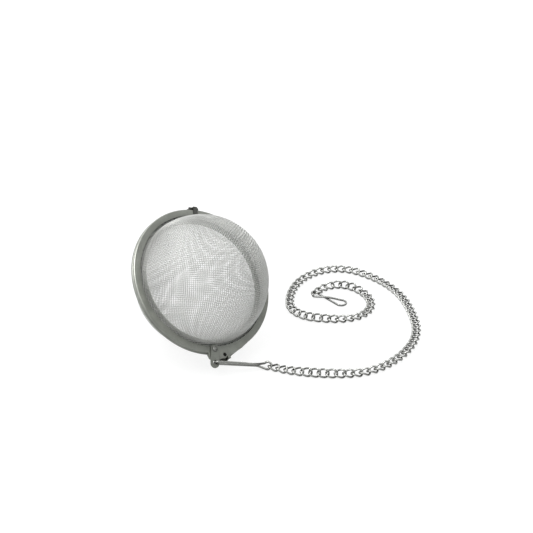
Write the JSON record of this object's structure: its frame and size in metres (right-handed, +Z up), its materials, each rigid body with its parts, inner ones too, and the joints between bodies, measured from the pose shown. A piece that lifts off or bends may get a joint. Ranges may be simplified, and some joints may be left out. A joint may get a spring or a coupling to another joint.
{
  "type": "tea infuser",
  "caption": "Hinged ball of woven steel wire for loose tea, with a swing latch, a wire connector, a link chain laid in a spiral, and a wire loop to hang it by.",
  "frame": {"origin": "the point on the table straight below the centre of the ball, with the infuser lying on its side as it is set down", "axes": "+Z up from the table; +X towards the chain's spiral; +Y away from the side that the opened latch hangs on"},
  "size_m": [0.1052, 0.0771, 0.0484],
  "materials": {
    "ring_steel": "satin pressed sheet",
    "woven_wire": "bright woven wire",
    "hinge_steel": "dull pressed sheet",
    "pin_steel": "smooth turned steel",
    "plate_steel": "satin stamped sheet",
    "polished_wire": "polished wire",
    "chain_wire": "polished wire",
    "hook_wire": "polished wire"
  },
  "bodies": {
    "rear_half": {"rear_ring": "ring_steel", "rear_mesh_cup": "woven_wire", "rear_hinge_leaf": "hinge_steel", "hinge_pin": "pin_steel"},
    "front_half": {"front_ring": "ring_steel", "front_mesh_cup": "woven_wire", "front_hinge_leaf": "hinge_steel", "latch_rivet": "pin_steel"},
    "latch": {"latch_plate": "plate_steel"},
    "connector": {"connector_link": "polished_wire"},
    "chain_1": {"chain_section_1": "chain_wire"},
    "chain_2": {"chain_section_2": "chain_wire"},
    "chain_3": {"chain_section_3": "chain_wire"},
    "chain_4": {"chain_section_4": "chain_wire"},
    "chain_5": {"chain_section_5": "chain_wire"},
    "chain_6": {"chain_section_6": "chain_wire"},
    "chain_7": {"chain_section_7": "chain_wire"},
    "chain_8": {"chain_section_8": "chain_wire"},
    "chain_9": {"chain_section_9": "chain_wire"},
    "chain_10": {"chain_section_10": "chain_wire"},
    "chain_11": {"chain_section_11": "chain_wire"},
    "chain_12": {"chain_section_12": "chain_wire"},
    "chain_13": {"chain_section_13": "chain_wire"},
    "chain_14": {"chain_section_14": "chain_wire"},
    "chain_15": {"chain_section_15": "chain_wire"},
    "chain_16": {"chain_section_16": "chain_wire"},
    "hook": {"cup_hook": "hook_wire"}
  },
  "joints": [
    {"name": "front_open", "type": "hinge", "parent": "rear_half", "child": "front_half", "pos_m": [-0.00375, 0.02129, 0.04236], "axis": [-0.8479, -0.4086, 0.3377], "range_deg": [0, 130]},
    {"name": "latch_swing", "type": "hinge", "parent": "front_half", "child": "latch", "pos_m": [0.00502, -0.02016, 0.00831], "axis": [0.5174, -0.4997, 0.6947], "range_deg": [0, 48]},
    {"name": "connector_swing", "type": "hinge", "parent": "latch", "child": "connector", "pos_m": [0.00516, -0.02417, 0.00532], "axis": [0.3078, -0.5653, 0.7653], "range_deg": [-80, 2]},
    {"name": "chain_bend_1", "type": "hinge", "parent": "connector", "child": "chain_1", "pos_m": [0.0245, -0.0203, 0.00107], "axis": [-0.4067, -0.9135, 0], "range_deg": [-30, 30]},
    {"name": "chain_bend_2", "type": "hinge", "parent": "chain_1", "child": "chain_2", "pos_m": [0.03878, -0.0248, 0.00107], "axis": [-0.1908, -0.9816, 0], "range_deg": [-30, 30]},
    {"name": "chain_bend_3", "type": "hinge", "parent": "chain_2", "child": "chain_3", "pos_m": [0.05369, -0.02493, 0.00107], "axis": [0.1736, -0.9848, 0], "range_deg": [-30, 30]},
    {"name": "chain_bend_4", "type": "hinge", "parent": "chain_3", "child": "chain_4", "pos_m": [0.06706, -0.01855, 0.00107], "axis": [0.6561, -0.7547, 0], "range_deg": [-30, 30]},
    {"name": "chain_bend_5", "type": "hinge", "parent": "chain_4", "child": "chain_5", "pos_m": [0.07624, -0.0068, 0.00107], "axis": [0.891, -0.454, 0], "range_deg": [-30, 30]},
    {"name": "chain_bend_6", "type": "hinge", "parent": "chain_5", "child": "chain_6", "pos_m": [0.07946, 0.00768, 0.00107], "axis": [0.9994, 0.0349, 0], "range_deg": [-30, 30]},
    {"name": "chain_bend_7", "type": "hinge", "parent": "chain_6", "child": "chain_7", "pos_m": [0.0775, 0.02253, 0.00107], "axis": [0.9744, 0.225, 0], "range_deg": [-30, 30]},
    {"name": "chain_bend_8", "type": "hinge", "parent": "chain_7", "child": "chain_8", "pos_m": [0.07132, 0.03609, 0.00107], "axis": [0.809, 0.5878, 0], "range_deg": [-30, 30]},
    {"name": "chain_bend_9", "type": "hinge", "parent": "chain_8", "child": "chain_9", "pos_m": [0.06034, 0.04616, 0.00107], "axis": [0.515, 0.8572, 0], "range_deg": [-30, 30]},
    {"name": "chain_bend_10", "type": "hinge", "parent": "chain_9", "child": "chain_10", "pos_m": [0.04593, 0.04704, 0.00107], "axis": [-0.4067, 0.9135, 0], "range_deg": [-30, 30]},
    {"name": "chain_bend_11", "type": "hinge", "parent": "chain_10", "child": "chain_11", "pos_m": [0.03546, 0.03675, 0.00107], "axis": [-0.9063, 0.4226, 0], "range_deg": [-30, 30]},
    {"name": "chain_bend_12", "type": "hinge", "parent": "chain_11", "child": "chain_12", "pos_m": [0.03237, 0.0222, 0.00107], "axis": [-0.9998, -0.0175, 0], "range_deg": [-30, 30]},
    {"name": "chain_bend_13", "type": "hinge", "parent": "chain_12", "child": "chain_13", "pos_m": [0.04105, 0.01128, 0.00107], "axis": [-0.2419, -0.9703, 0], "range_deg": [-30, 30]},
    {"name": "chain_bend_14", "type": "hinge", "parent": "chain_13", "child": "chain_14", "pos_m": [0.05587, 0.01167, 0.00107], "axis": [0.2924, -0.9563, 0], "range_deg": [-30, 30]},
    {"name": "chain_bend_15", "type": "hinge", "parent": "chain_14", "child": "chain_15", "pos_m": [0.06374, 0.02312, 0.00107], "axis": [0.9976, 0.0698, 0], "range_deg": [-30, 30]},
    {"name": "chain_bend_16", "type": "hinge", "parent": "chain_15", "child": "chain_16", "pos_m": [0.05546, 0.03473, 0.00107], "axis": [0.3907, 0.9205, 0], "range_deg": [-30, 30]},
    {"name": "hook_swing", "type": "hinge", "parent": "chain_16", "child": "hook", "pos_m": [0.04286, 0.02977, 0.00107], "axis": [-0.9135, 0.4067, 0], "range_deg": [-30, 30]}
  ],
  "couplings": [
    {"joint": "connector_swing", "follows": "latch_swing", "ratio": -1.6}
  ]
}
